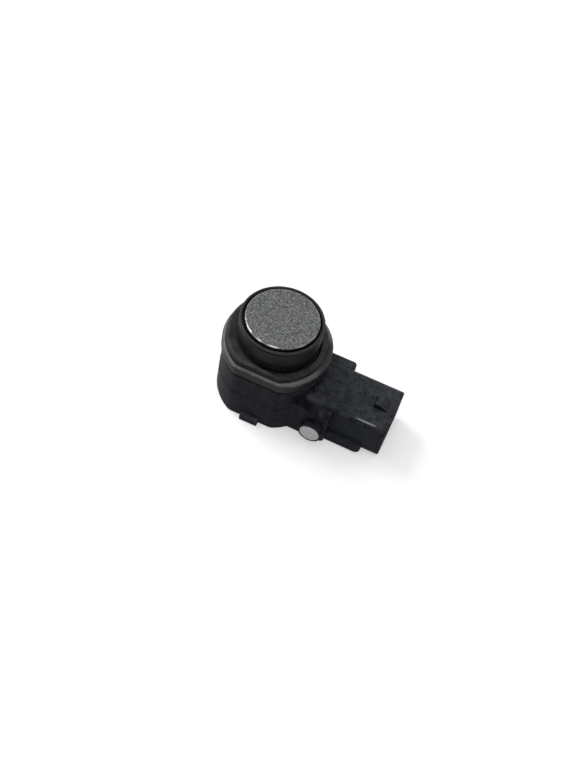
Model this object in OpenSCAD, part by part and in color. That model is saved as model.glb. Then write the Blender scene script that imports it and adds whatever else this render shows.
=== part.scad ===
// Ultrasonic parking sensor: a painted membrane in a soft sleeve, a flat-sided body and a plug socket.
// The origin is on the axis of the head, in the flat back. +Z points out of the face, +X out of the socket.

/* [Membrane cup] */
// Diameter of the painted front face
face_d = 15.6; // [15.4:0.1:16.4]
// Height of the wide disc behind the face
face_t = 1.6; // [1.2:0.1:2.2]
// Bevel round the edge of the face
face_bevel = 0.25; // [0.1:0.05:0.4]
// Thickness of the vibrating wall
membrane_t = 0.7; // [0.5:0.05:1]
// Outside diameter of the cup behind the disc
cup_d = 14; // [13:0.1:14.6]
// Thickness of the cup's side wall
cup_wall = 1; // [0.6:0.1:1.4]
// Height of the whole cup
cup_h = 9.3; // [8.4:0.1:11]

/* [Transducer] */
// Diameter of the piezo disc
piezo_d = 8; // [6:0.1:9]
// Thickness of the piezo disc
piezo_t = 0.3; // [0.2:0.05:0.5]
// Thickness of the damping pad
pad_t = 1.8; // [1:0.1:2.4]
// Diameter of each lead
lead_d = 0.45; // [0.3:0.05:0.6]
// Distance between the two leads
lead_pitch = 3.6; // [2.4:0.1:4.4]

/* [Soft mounting] */
// Thickness of the web under the cup
web_t = 1; // [0.6:0.1:1.4]
// Diameter of the opening in the web
web_bore = 10; // [8:0.1:11]
// Height of the soft shoulder above its seat
shoulder_h = 3.4; // [3:0.1:3.8]
// Rounding of the shoulder's upper edge
shoulder_edge = 0.5; // [0.2:0.05:0.8]
// Height of the foot that the collar holds down
foot_h = 1.2; // [0.8:0.1:1.5]
// Width of the moat round the sleeve
moat_w = 0.8; // [0.4:0.1:1.2]
// Depth of the moat round the sleeve
moat_depth = 0.9; // [0.4:0.1:1.4]
// Outside diameter of the front ring
ring_d = 17.8; // [17.4:0.1:18.2]
// Height of the front ring
ring_h = 2.1; // [1.8:0.1:2.6]
// Distance from the face down to the top of the ring
ring_drop = 0.35; // [0.1:0.05:0.6]
// Rounding of the ring's top
ring_bead = 0.4; // [0.2:0.05:0.45]
// Diameter of the thin lip under the ring
lip_d = 16.9; // [16.6:0.1:17.1]
// Height of the thin lip
lip_h = 0.4; // [0.2:0.05:0.5]
// Height of the groove between lip and ring
lip_groove = 0.3; // [0.2:0.05:0.4]

/* [Collar] */
// Diameter of the collar
collar_d = 23.5; // [23.2:0.1:24.2]
// Distance across the collar's flats
collar_flats = 21.2; // [20.8:0.1:21.8]
// Height of the collar
collar_h = 2.9; // [2.5:0.1:3.4]
// Slope at the collar's upper edge
collar_slope = 0.8; // [0.4:0.1:0.9]
// Width of the collar at its top
collar_rim = 1; // [0.95:0.05:1.2]
// Width of the collar beside the foot
collar_skirt = 0.6; // [0.5:0.05:0.7]

/* [Body] */
// Diameter of the body
body_d = 22.8; // [22.4:0.1:23.6]
// Distance across the body's flats
body_flats = 20.6; // [20.3:0.1:21.1]
// Radius where a flat runs into the round
corner_r = 3; // [2.4:0.1:4]
// Thickness of the body's side wall
body_wall = 1.3; // [1.1:0.1:1.6]
// Thickness of the flat back
floor_t = 1.4; // [1:0.1:2]
// Width of the ledge that carries the inner plate
ledge_w = 0.6; // [0.4:0.1:0.7]
// Height of the dark joint under the collar
joint_h = 0.3; // [0.2:0.05:0.5]
// Depth of the dark joint under the collar
joint_depth = 0.4; // [0.2:0.05:0.5]
// Height of the skirt that stands proud of the flats
skirt_h = 7.2; // [4:0.1:9]
// How far the skirt stands proud
skirt_step = 0.1; // [0.05:0.05:0.2]
// Width of the snap nose at the foot of each flat
nose_w = 4.2; // [2:0.1:6]
// Height of the snap nose
nose_h = 2; // [1.2:0.1:3]
// How far the snap nose stands out
nose_out = 1.1; // [0.4:0.1:1.4]

/* [Plug socket] */
// Width of the socket
plug_w = 12.4; // [12:0.1:13.2]
// Height of the socket
plug_h = 9.8; // [9.4:0.1:10.2]
// Distance from the head's axis to the socket's mouth
plug_reach = 28.3; // [27:0.1:32]
// Clear height under the socket
plug_lift = 0.3; // [0.2:0.1:0.9]
// Rounding of the socket's two upper edges
plug_r = 1.7; // [1.3:0.1:2.1]
// Rounding of the socket's two lower edges
plug_belly_r = 1.6; // [1.3:0.1:2.2]
// Wall of the socket
plug_wall = 1.4; // [1.1:0.1:1.5]
// Depth of the socket
plug_depth = 11; // [9:0.1:11.5]
// Radius of the hollow between body and socket
fillet_r = 1.6; // [0.8:0.1:2.2]
// Width of the latch lug
lug_w = 2.8; // [2:0.1:4]
// Length of the latch lug
lug_l = 3.6; // [3:0.1:4.4]
// Height of the latch lug
lug_h = 1.3; // [0.8:0.1:1.6]
// Length of the lug's ramp
lug_ramp = 2; // [1:0.1:2.2]
// Length of the steep face behind the lug
lug_back = 0.4; // [0.1:0.1:0.7]
// Distance from the mouth to the latch lug
lug_setback = 1.3; // [0.8:0.1:2]
// How far the keying rib stands out
rib_out = 1.2; // [0.6:0.1:1.4]
// Height of the keying rib
rib_h = 1.9; // [1.2:0.1:2.6]
// Distance from the mouth to the keying rib
rib_setback = 3.9; // [3:0.1:6]

/* [Neck and locating pins] */
// Width of the neck
neck_w = 17; // [15.4:0.1:18]
// Distance from the head's axis to the neck's end
neck_reach = 16.4; // [16.2:0.1:16.8]
// Clear height under the neck
neck_lift = 0.4; // [0.2:0.1:0.6]
// How far the neck's top lies under the socket's top
neck_drop = 1; // [0.6:0.1:1.6]
// Rounding of the neck's upright edges
neck_r = 0.8; // [0.5:0.1:1]
// Diameter of the locating pins
pin_d = 5.2; // [4.8:0.1:5.6]
// Length of the locating pins
pin_l = 1.6; // [1.2:0.1:2.4]
// Distance from the head's axis to the pins
pin_x = 13.4; // [13:0.1:13.5]
// Height of the pins above the neck's underside
pin_rise = 3.6; // [3.2:0.1:4.4]
// Diameter of the light plug in the near pin
dot_d = 4.4; // [3:0.1:4.4]
// Thickness of the light plug
dot_t = 0.5; // [0.3:0.1:1]

/* [Terminals] */
// Side of the square terminals
terminal_s = 0.64; // [0.5:0.02:0.8]
// Distance between two terminals
terminal_pitch = 2.5; // [2:0.1:2.6]
// Distance from the mouth to the terminals' tips
tip_setback = 5.3; // [4.8:0.1:6]
// Length of each tip's taper
tip_taper = 0.9; // [0.4:0.1:1.4]
// Distance from the inner wall to the terminals' bend
bend_gap = 1.6; // [1.2:0.1:2.4]
// Length of the terminals above the board
terminal_tail = 0.5; // [0.3:0.1:1]

/* [Electronics] */
// Thickness of the inner plate that carries the soft mounting
plate_t = 1.6; // [1.2:0.1:2.2]
// Diameter of the opening for the leads
plate_bore = 7; // [6:0.1:9]
// Thickness of the board
board_t = 1.2; // [0.8:0.1:1.6]
// Height of the four posts under the board
post_h = 5.2; // [4.8:0.1:6]
// Diameter of the posts
post_d = 2; // [1.4:0.1:2.4]
// Distance between the posts along the socket
post_dx = 10.8; // [10:0.1:11.4]
// Distance between the posts across the socket
post_dy = 12.8; // [12:0.1:13.2]
// Free height over the board
board_room = 4.1; // [2.4:0.1:5]
// Length of the driver chip
chip_l = 4.4; // [3:0.1:5]
// Width of the driver chip
chip_w = 5; // [3:0.1:6]
// Height of the driver chip
chip_h = 1.5; // [0.8:0.1:2]
// Distance from the head's axis to the driver chip
chip_x = 4.8; // [4.4:0.1:5.4]
// Diameter of the transformer core
core_d = 5.6; // [4.4:0.1:6.4]
// Height of the transformer core
core_h = 4; // [3:0.1:4.2]
// Thickness of the core's two flanges
core_flange = 0.8; // [0.5:0.1:1]
// Diameter of the core's hub
core_hub = 2.4; // [1.6:0.1:3]
// Diameter of the winding
winding_d = 4.8; // [3.4:0.1:5.2]
// Distance from the head's axis to the transformer
core_x = 3.4; // [3:0.1:4.4]
// Diameter of the storage capacitor
can_d = 4; // [3:0.1:4.6]
// Height of the storage capacitor
can_h = 4; // [3:0.1:4.2]
// Length of the clamp diode
diode_l = 3.4; // [2:0.1:3.8]
// Width of the clamp diode
diode_w = 2.4; // [1.4:0.1:2.6]
// Height of the clamp diode
diode_h = 1.4; // [0.8:0.1:2]
// Distance of the capacitor and the diode from the head's axis, along the socket
side_x = 2.5; // [2:0.1:3]
// Distance of the capacitor and the diode from the head's axis, across the socket
side_y = 4.1; // [3.8:0.1:4.4]
// Length of the small chip parts
smd_l = 1.6; // [1:0.1:1.8]
// Width of the small chip parts
smd_w = 0.8; // [0.5:0.1:1]
// Height of the small chip parts
smd_h = 0.6; // [0.3:0.1:1]
// Distance between two small chip parts
smd_pitch = 1.6; // [1.2:0.1:1.8]
// Distance of the small chip parts from the head's axis, along the socket
smd_x = 3.6; // [3.2:0.1:4]

/* [Clearances] */
// Play between pieces that slip together
slip = 0.05; // [0.03:0.01:0.1]
// Play round the board and the inner plate
loose = 0.2; // [0.1:0.05:0.3]

/* [Hidden] */
$fn = 96;
cut = 1;

// Heights, from the flat back up to the face
board_z = floor_t + post_h;
board_top = board_z + board_t;
plate_z = board_top + board_room;
seat_z = plate_z + plate_t;
cup_z = seat_z + web_t;
face_z = cup_z + cup_h;
disc_z = face_z - face_t;
membrane_z = face_z - membrane_t;
piezo_z = membrane_z - piezo_t;
pad_z = piezo_z - pad_t;
ring_top = face_z - ring_drop;
plug_z = plug_lift + plug_h / 2;
plug_top = plug_lift + plug_h;

// Places along and across the socket
pocket_r = body_d / 2 - body_wall;
bend_x = pocket_r - bend_gap;
tip_x = plug_reach - tip_setback;
socket_floor = plug_reach - plug_depth;
pin_end = neck_w / 2 + pin_l;
pin_z = neck_lift + pin_rise;

// Round outline with two flats, each blended into the round by arcs of radius corner_r
module flat_sided(d, flats, inset = 0) {
    r = d / 2 - inset;
    f = flats / 2 - inset;
    blend = corner_r - inset;
    y = f - blend;
    x = sqrt(pow(r - blend, 2) - y * y);
    beyond = (r + cut) / (r - blend);
    difference() {
        intersection() {
            circle(r);
            square([2 * (r + cut), 2 * f], center = true);
        }
        for (sx = [-1, 1], sy = [-1, 1])
            polygon([
                [sx * x, sy * y],
                [sx * x, sy * (f + cut)],
                [sx * x * beyond, sy * (f + cut)],
                [sx * x * beyond, sy * y * beyond]
            ]);
    }
    for (sx = [-1, 1], sy = [-1, 1])
        translate([sx * x, sy * y])
            circle(blend);
}

// Flat-sided block whose upper edge slopes in by edge
module sloped_block(d, flats, inset, h, edge) {
    hull() {
        linear_extrude(h - edge)
            flat_sided(d, flats, inset);
        linear_extrude(h)
            flat_sided(d, flats, inset + edge);
    }
}

// Rectangle with two round corners above and two below, centred
module rounded_rect(w, h, r_up, r_down) {
    translate([-w / 2, r_down - h / 2])
        square([w, h - r_up - r_down]);
    for (sx = [-1, 1]) {
        translate([sx * (w / 2 - r_up), h / 2 - r_up])
            circle(r_up);
        translate([sx * (w / 2 - r_down), r_down - h / 2])
            circle(r_down);
    }
    translate([r_up - w / 2, 0])
        square([w - 2 * r_up, h / 2]);
    translate([r_down - w / 2, -h / 2])
        square([w - 2 * r_down, h / 2]);
}

// Bar along +X with the rounded section of the plug socket, from x0 to x1
module plug_bar(x0, x1, wall) {
    w = plug_w - 2 * wall;
    h = plug_h - 2 * wall;
    translate([x0, 0, plug_z])
        rotate([90, 0, 90])
            linear_extrude(x1 - x0)
                rounded_rect(w, h, plug_r - wall / 2, plug_belly_r - wall / 2);
}

// Drum of the body, with the proud skirt, the snap noses and the joint under the collar
module body_drum() {
    nose_y = body_flats / 2 + skirt_step;
    linear_extrude(seat_z - joint_h)
        flat_sided(body_d, body_flats);
    linear_extrude(skirt_h)
        flat_sided(body_d + 2 * skirt_step, body_flats + 2 * skirt_step);
    linear_extrude(seat_z)
        flat_sided(body_d, body_flats, joint_depth);
    translate([-nose_w / 2, 0, 0])
        rotate([90, 0, 90])
            linear_extrude(nose_w)
                for (side = [-1, 1])
                    polygon([
                        [0, 0],
                        [side * (nose_y + nose_out), 0],
                        [side * (nose_y + nose_out), nose_h / 2],
                        [side * nose_y, nose_h],
                        [0, nose_h]
                    ]);
}

// Neck between the drum and the socket, with a locating pin on each side
module neck() {
    neck_h = plug_top - neck_drop - neck_lift;
    translate([neck_reach / 2, 0, neck_lift])
        linear_extrude(neck_h)
            rounded_rect(neck_reach, neck_w, neck_r, neck_r);
    translate([pin_x, 0, pin_z])
        rotate([90, 0, 0])
            cylinder(d = pin_d, h = 2 * pin_end, center = true);
}

// Hollow curve where the drum meets the top of the socket
module root_fillet() {
    r = body_d / 2;
    flat_w = plug_w - 2 * plug_r;
    intersection() {
        translate([0, 0, plug_top])
            rotate_extrude()
                difference() {
                    translate([r - cut, -cut])
                        square([fillet_r + cut, fillet_r + cut]);
                    translate([r + fillet_r, fillet_r])
                        circle(fillet_r);
                }
        translate([0, -flat_w / 2, 0])
            cube([plug_reach, flat_w, seat_z]);
    }
}

// Latch lug on top of the socket: a ramp towards the mouth and a steep face behind it
module latch_lug() {
    back = plug_reach - lug_setback - lug_l;
    translate([back, lug_w / 2, plug_top])
        rotate([90, 0, 0])
            linear_extrude(lug_w)
                polygon([
                    [0, -cut],
                    [lug_l, -cut],
                    [lug_l, 0],
                    [lug_l - lug_ramp, lug_h],
                    [lug_back, lug_h],
                    [0, 0]
                ]);
}

// Keying ribs low on both sides of the socket, with a round end before the mouth
module keying_ribs() {
    end = plug_reach - rib_setback;
    reach = plug_w / 2 + rib_out;
    translate([0, 0, plug_lift])
        linear_extrude(rib_h)
            difference() {
                union() {
                    translate([neck_reach - cut, -reach])
                        square([end - neck_reach + cut - rib_out, 2 * reach]);
                    for (side = [-1, 1])
                        translate([end - rib_out, side * plug_w / 2])
                            circle(rib_out);
                }
                translate([socket_floor, plug_belly_r - plug_w / 2])
                    square([plug_reach, plug_w - 2 * plug_belly_r]);
            }
}

// Moulded body: drum, neck, socket and pins in one piece, open towards the face
module housing() {
    channel = terminal_s + 2 * slip;
    color([0.13, 0.135, 0.15])
    difference() {
        union() {
            difference() {
                union() {
                    body_drum();
                    neck();
                    plug_bar(0, plug_reach, 0);
                    root_fillet();
                    latch_lug();
                    keying_ribs();
                }
                translate([0, 0, floor_t])
                    linear_extrude(seat_z)
                        flat_sided(body_d, body_flats, body_wall);
                translate([0, 0, plate_z])
                    linear_extrude(seat_z)
                        flat_sided(body_d, body_flats, body_wall - ledge_w);
                plug_bar(socket_floor, plug_reach + cut, plug_wall);
            }
            for (sx = [-1, 1], sy = [-1, 1])
                translate([sx * post_dx / 2, sy * post_dy / 2, floor_t - cut / 2])
                    cylinder(d = post_d, h = post_h + cut / 2);
        }
        for (i = [-1, 0, 1])
            translate([bend_x, i * terminal_pitch - channel / 2, plug_z - channel / 2])
                cube([plug_reach - bend_x, channel, channel]);
        translate([pin_x, -pin_end + dot_t, pin_z])
            rotate([90, 0, 0])
                cylinder(d = dot_d + 2 * slip, h = dot_t + cut);
    }
}

// Square terminal: from the board down, round the bend and out to a tapered tip in the socket
module terminal(i) {
    half = terminal_s / 2;
    tail = board_top + terminal_tail - plug_z;
    color([0.72, 0.71, 0.68])
    translate([bend_x, i * terminal_pitch + half, plug_z])
        rotate([90, 0, 0])
            linear_extrude(terminal_s)
                polygon([
                    [-half, -half],
                    [tip_x - bend_x - tip_taper, -half],
                    [tip_x - bend_x, -half / 3],
                    [tip_x - bend_x, half / 3],
                    [tip_x - bend_x - tip_taper, half],
                    [half, half],
                    [half, tail],
                    [-half, tail]
                ]);
}

// Light plug in the end of the near locating pin
module stud_plug() {
    color([0.62, 0.63, 0.63])
    translate([pin_x, -pin_end + dot_t, pin_z])
        rotate([90, 0, 0])
            cylinder(d = dot_d, h = dot_t);
}

// Printed board on the four posts, with a hole for each terminal
module circuit_board() {
    hole = terminal_s + 2 * slip;
    color([0.1, 0.32, 0.2])
    translate([0, 0, board_z])
        linear_extrude(board_t)
            difference() {
                flat_sided(body_d, body_flats, body_wall + loose);
                for (i = [-1, 0, 1])
                    translate([bend_x, i * terminal_pitch])
                        square(hole, center = true);
            }
}

// Driver chip on top of the board
module driver_chip() {
    color([0.09, 0.09, 0.1])
    translate([-chip_x, 0, board_top + chip_h / 2])
        cube([chip_l, chip_w, chip_h], center = true);
}

// Ferrite spool under the board: two flanges on a hub
module transformer_core() {
    color([0.28, 0.27, 0.28])
    translate([-core_x, 0, board_z - core_h]) {
        cylinder(d = core_hub, h = core_h);
        cylinder(d = core_d, h = core_flange);
        translate([0, 0, core_h - core_flange])
            cylinder(d = core_d, h = core_flange);
    }
}

// Copper winding between the flanges of the spool
module transformer_winding() {
    bare = core_h - 2 * core_flange - 2 * slip;
    color([0.66, 0.36, 0.16])
    translate([-core_x, 0, board_z - core_h + core_flange + slip])
        difference() {
            cylinder(d = winding_d, h = bare);
            translate([0, 0, -cut])
                cylinder(d = core_hub + 2 * slip, h = bare + 2 * cut);
        }
}

// Round storage capacitor under the board
module storage_capacitor() {
    color([0.6, 0.62, 0.66])
    translate([side_x, side_y, board_z - can_h])
        cylinder(d = can_d, h = can_h);
}

// Clamp diode under the board
module clamp_diode() {
    color([0.12, 0.12, 0.13])
    translate([side_x, -side_y, board_z - diode_h / 2])
        cube([diode_l, diode_w, diode_h], center = true);
}

// Row of small chip parts on top of the board, centred on the line y
module chip_row(y) {
    for (i = [-1, 0, 1])
        translate([smd_x + i * smd_pitch, y, board_top + smd_h / 2])
            cube([smd_w, smd_l, smd_h], center = true);
}

module chip_capacitors() {
    color([0.62, 0.52, 0.4])
    chip_row(side_y);
}

module chip_resistors() {
    color([0.15, 0.15, 0.16])
    chip_row(-side_y);
}

// Plate on the ledge of the body, which closes the electronics and carries the soft mounting
module inner_plate() {
    color([0.2, 0.2, 0.21])
    translate([0, 0, plate_z])
        linear_extrude(plate_t)
            difference() {
                flat_sided(body_d, body_flats, body_wall - ledge_w + loose / 2);
                circle(d = plate_bore);
            }
}

// Soft moulding: foot under the collar, rounded shoulder, moat and the sleeve round the cup
module decoupling_sleeve() {
    sleeve_r = face_d / 2;
    color([0.17, 0.165, 0.17])
    translate([0, 0, seat_z])
        difference() {
            union() {
                linear_extrude(foot_h)
                    flat_sided(collar_d, collar_flats, collar_skirt + slip);
                difference() {
                    sloped_block(collar_d, collar_flats, collar_rim + slip, shoulder_h, shoulder_edge);
                    translate([0, 0, shoulder_h - moat_depth])
                        cylinder(r = sleeve_r + moat_w, h = shoulder_h);
                }
                cylinder(r = sleeve_r, h = disc_z - seat_z);
            }
            translate([0, 0, web_t])
                cylinder(d = cup_d + 2 * slip, h = cup_h);
            translate([0, 0, -cut])
                cylinder(d = web_bore, h = cup_h);
        }
}

// Flat-sided collar that clamps the soft foot to the body
module front_collar() {
    color([0.26, 0.26, 0.28])
    translate([0, 0, seat_z])
        difference() {
            sloped_block(collar_d, collar_flats, 0, collar_h, collar_slope);
            translate([0, 0, -cut])
                linear_extrude(collar_h + 2 * cut)
                    flat_sided(collar_d, collar_flats, collar_rim);
            translate([0, 0, -cut])
                linear_extrude(foot_h + slip + cut)
                    flat_sided(collar_d, collar_flats, collar_skirt);
        }
}

// Aluminium cup: the wide disc with the painted face, and the narrower wall behind it
module membrane_cup() {
    r = face_d / 2;
    color([0.55, 0.56, 0.57])
    rotate_extrude()
        polygon([
            [0, membrane_z],
            [cup_d / 2 - cup_wall, membrane_z],
            [cup_d / 2 - cup_wall, cup_z],
            [cup_d / 2, cup_z],
            [cup_d / 2, disc_z],
            [r, disc_z],
            [r, face_z - face_bevel],
            [r - face_bevel, face_z],
            [0, face_z]
        ]);
}

// Piezo disc bonded to the back of the membrane
module piezo_disc() {
    color([0.78, 0.74, 0.62])
    translate([0, 0, piezo_z])
        cylinder(d = piezo_d, h = piezo_t);
}

// Filling of the cup between two heights, with holes for the two leads
module cup_layer(z0, z1) {
    translate([0, 0, z0])
        linear_extrude(z1 - z0)
            difference() {
                circle(d = cup_d - 2 * cup_wall - 2 * slip);
                for (side = [-1, 1])
                    translate([0, side * lead_pitch / 2])
                        circle(d = lead_d + 2 * slip);
            }
}

// Felt pad that damps the back of the membrane
module damping_pad() {
    color([0.5, 0.47, 0.42])
    cup_layer(pad_z, piezo_z);
}

// Silicone poured into the cup behind the pad
module cup_fill() {
    color([0.75, 0.75, 0.72])
    cup_layer(cup_z, pad_z);
}

// Lead from the piezo disc down to the board
module lead(side) {
    color([0.7, 0.42, 0.22])
    translate([0, side * lead_pitch / 2, board_top])
        cylinder(d = lead_d, h = piezo_z - board_top);
}

// Soft ring round the disc: thin lip, groove, straight land and a rounded top
module front_ring() {
    r0 = face_d / 2 + slip;
    r1 = ring_d / 2;
    base = ring_top - ring_h;
    land = base + lip_h + lip_groove;
    color([0.15, 0.15, 0.155])
    rotate_extrude() {
        translate([r0, base])
            square([lip_d / 2 - r0, lip_h]);
        translate([r0, base])
            square([lip_d / 2 - lip_groove - r0, ring_h - ring_bead]);
        translate([r0, land])
            square([r1 - r0, ring_top - ring_bead - land]);
        translate([r0 + ring_bead, land])
            square([r1 - r0 - 2 * ring_bead, ring_top - land]);
        for (r = [r0 + ring_bead, r1 - ring_bead])
            translate([r, ring_top - ring_bead])
                circle(ring_bead);
    }
}

housing();
for (i = [1 : 3])
    terminal(i - 2);
stud_plug();
circuit_board();
driver_chip();
transformer_core();
transformer_winding();
storage_capacitor();
clamp_diode();
chip_capacitors();
chip_resistors();
inner_plate();
decoupling_sleeve();
front_collar();
membrane_cup();
piezo_disc();
damping_pad();
cup_fill();
for (i = [1 : 2])
    lead(2 * i - 3);
front_ring();
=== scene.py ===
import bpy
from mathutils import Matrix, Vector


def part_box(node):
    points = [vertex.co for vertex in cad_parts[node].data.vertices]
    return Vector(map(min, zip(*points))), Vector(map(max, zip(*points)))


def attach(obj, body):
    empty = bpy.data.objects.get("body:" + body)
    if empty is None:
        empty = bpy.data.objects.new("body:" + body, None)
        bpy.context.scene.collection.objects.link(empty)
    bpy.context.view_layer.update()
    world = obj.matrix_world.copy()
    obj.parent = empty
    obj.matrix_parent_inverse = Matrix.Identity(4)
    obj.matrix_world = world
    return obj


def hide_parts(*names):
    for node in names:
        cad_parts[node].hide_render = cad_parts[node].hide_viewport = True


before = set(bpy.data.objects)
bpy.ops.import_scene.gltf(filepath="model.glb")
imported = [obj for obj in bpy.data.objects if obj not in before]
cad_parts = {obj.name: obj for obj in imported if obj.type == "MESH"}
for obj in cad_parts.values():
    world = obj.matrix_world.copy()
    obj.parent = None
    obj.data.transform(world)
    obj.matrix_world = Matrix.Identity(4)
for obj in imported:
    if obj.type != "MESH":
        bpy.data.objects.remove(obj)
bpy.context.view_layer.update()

from math import atan2, cos, hypot, pi, radians, sin, sqrt

import bmesh
import bpy
from mathutils import Matrix, Vector

# Housing: body drum, neck, plug socket, pins, latch lug and keying ribs.
# One injection moulding of glass-filled nylon, dark blue-black with a fine spark-eroded grain;
# the board goes in from the open front, and everything else is stacked on its rim.
mm = 0.001


def reach_of(node, axis):
    """Highest coordinate of a CAD node along X, Y or Z, in mm."""
    return round(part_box(node)[1]["XYZ".index(axis)] / mm, 2)


# Sizes in mm: _r is a radius, _f half a distance across flats, _edge an edge's rounding,
# and _w, _l, _h and _t are a width, a length, a height and a thickness
body_r, body_f, blend = 11.4, 10.3, 3
wall, ledge, floor_z, plate_z, seat_z = 1.3, 0.6, 1.4, 11.9, reach_of("housing", "Z")
skirt_out, step_low, step_top, foot_edge = 0.1, 7.1, 7.25, 0.4
joint_in, joint_h, joint_edge = 0.4, 0.7, 0.15
post_x, post_y, post_r, post_edge, board_z = 5.4, 6.4, 1, 0.15, 6.6
nose_w, nose_h, nose_out, nose_lean, nose_edge = 4.2, 2, 1.1, 0.05, 0.32
neck_half, neck_reach, neck_low, neck_top = 8.5, 16.4, 0.4, 9.1
neck_corner, neck_top_edge, neck_low_edge = 0.8, 0.35, 0.3
plug_half, plug_reach, plug_low, plug_top = 6.2, reach_of("housing", "X"), 0.3, 10.1
plug_r, belly_r, plug_wall, plug_depth, rim_edge = 1.7, 1.6, 1.4, 11, 0.3
fillet_r = 1.6
lug_w, lug_l, lug_h, lug_ramp, lug_back, lug_setback, lug_edge = 2.8, 3.6, 1.3, 2, 0.4, 1.3, 0.14
rib_out, rib_in, rib_h, rib_setback = 1.2, 0.1, 1.9, 3.9
rib_end_r, rib_top_edge, rib_low_edge = 1.15, 0.25, 0.2
pin_x, pin_z, pin_r, pin_end, pin_edge = 13.4, 4.0, 2.6, 10.1, 0.16
dot_r, dot_t, slip = 2.2, 0.5, 0.05

# Joined forms reach into each other by these; blocks start at core_x, inside the drum
overlap, short_overlap, bite, core_x = 0.6, 0.5, 0.9, 8


def new_shape():
    """Empty bmesh whose faces can be marked as rounded edges."""
    bm = bmesh.new()
    bm.faces.layers.float.new("edge")
    return bm


def round_edges(bm, edges, radius, segments=3):
    """Rounds edges and marks the new faces, so that a finish can show wear and painted highlights on them."""
    done = bmesh.ops.bevel(
        bm, geom=list(edges), offset=radius * mm, offset_type="OFFSET", segments=segments,
        profile=0.5, affect="EDGES", clamp_overlap=True, material=-1)
    mark = bm.faces.layers.float["edge"]
    for face in done["faces"]:
        face[mark] = 1.0


def points(*loops):
    """All vertices of one or more edge loops."""
    return list({v for loop in loops for e in loop for v in e.verts})


def flat_sided(bm, r, f, corner):
    """Closed loop in z = 0: a round of radius r with flats at y = f and -f, blended by corner arcs."""
    cy = f - corner
    cx = sqrt((r - corner) ** 2 - cy * cy)
    lean = atan2(cy, cx)
    last = bm.verts.new((0, f * mm, 0))
    last = bmesh.ops.extrude_vert_indiv(bm, verts=[last])["verts"][0]
    bmesh.ops.translate(bm, vec=(cx * mm, 0, 0), verts=[last])
    for centre, turn, steps in (((cx * mm, cy * mm, 0), pi / 2 - lean, 12), ((0, 0, 0), lean, 26)):
        spun = bmesh.ops.spin(bm, geom=[last], cent=centre, axis=(0, 0, -1), angle=turn, steps=steps)
        last = [v for v in spun["geom_last"] if isinstance(v, bmesh.types.BMVert)][0]
    for axis in "XY":
        bmesh.ops.mirror(bm, geom=bm.verts[:] + bm.edges[:], matrix=Matrix.Identity(4),
                         merge_dist=1e-6, axis=axis)
    return bm.edges[:]


def carry(bm, loop, stations):
    """Carries a flat-sided loop through (radius, half flats, z) stations; returns every loop."""
    r, f, z = stations[0]
    loops = [loop]
    bmesh.ops.translate(bm, vec=(0, 0, z * mm), verts=points(loop))
    for r1, f1, z1 in stations[1:]:
        grown = bmesh.ops.extrude_edge_only(bm, edges=loops[-1])["geom"]
        verts = {v for v in grown if isinstance(v, bmesh.types.BMVert)}
        bmesh.ops.scale(bm, vec=(r1 / r, f1 / f, 1), verts=list(verts))
        bmesh.ops.translate(bm, vec=(0, 0, (z1 - z) * mm), verts=list(verts))
        loops.append([e for e in grown if isinstance(e, bmesh.types.BMEdge) and set(e.verts) <= verts])
        r, f, z = r1, f1, z1
    return loops


def box(x0, x1, y0, y1, z0, z1):
    """Plain block between two corners, in mm."""
    bm = new_shape()
    middle = Matrix.Translation(Vector((x0 + x1, y0 + y1, z0 + z1)) * mm / 2)
    bmesh.ops.create_cube(bm, size=mm, matrix=middle @ Matrix.Diagonal((x1 - x0, y1 - y0, z1 - z0, 1)))
    return bm


def slab(outline, y0, y1):
    """Block from y0 to y1 whose side view is an outline of (x, z) points, in mm."""
    bm = new_shape()
    side = bm.faces.new([bm.verts.new((x * mm, y0 * mm, z * mm)) for x, z in outline])
    grown = bmesh.ops.extrude_face_region(bm, geom=[side])["geom"]
    far_side = [v for v in grown if isinstance(v, bmesh.types.BMVert)]
    bmesh.ops.translate(bm, vec=(0, (y1 - y0) * mm, 0), verts=far_side)
    bmesh.ops.recalc_face_normals(bm, faces=bm.faces[:])
    return bm


def rod(radius, length, centre, segments, turn=Matrix.Identity(4)):
    """Round bar about centre, upright unless it is turned, in mm."""
    bm = new_shape()
    bmesh.ops.create_cone(bm, cap_ends=True, segments=segments, radius1=radius * mm, radius2=radius * mm,
                          depth=length * mm, matrix=Matrix.Translation(Vector(centre) * mm) @ turn)
    return bm


def sink(bm, face, border, step):
    """Leaves a border round a face and moves what it encloses along step, in mm."""
    bmesh.ops.inset_individual(bm, faces=[face], thickness=border * mm, use_even_offset=True)
    sunk = bmesh.ops.extrude_discrete_faces(bm, faces=[face])["faces"][0]
    bmesh.ops.translate(bm, vec=Vector(step) * mm, verts=sunk.verts[:])
    bmesh.ops.recalc_face_normals(bm, faces=bm.faces[:])


def bury(bm, r):
    """Cuts a block along X into strips 2 mm wide and lays its inner end on a round of radius r."""
    for y in range(-7, 8, 2):
        bmesh.ops.bisect_plane(bm, geom=bm.verts[:] + bm.edges[:] + bm.faces[:], dist=1e-7,
                               plane_co=(0, y * mm, 0), plane_no=(0, 1, 0))
    start = min(v.co.x for v in bm.verts)
    for v in bm.verts:
        if v.co.x < start + mm:
            v.co.x = sqrt((r * mm) ** 2 - v.co.y ** 2)


def near(a, b):
    """Whether two lengths in mm are the same."""
    return abs(a - b) < 0.01


def edges_where(bm, test):
    """Edges whose two ends both pass test(x, y, z), in mm."""
    return [e for e in bm.edges if all(test(*(v.co / mm)) for v in e.verts)]


def edges_along(bm, axis, test):
    """Those of edges_where that run along X, Y or Z."""
    i = "XYZ".index(axis)
    return [e for e in edges_where(bm, test) if abs(e.verts[0].co[i] - e.verts[1].co[i]) > mm]


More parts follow.
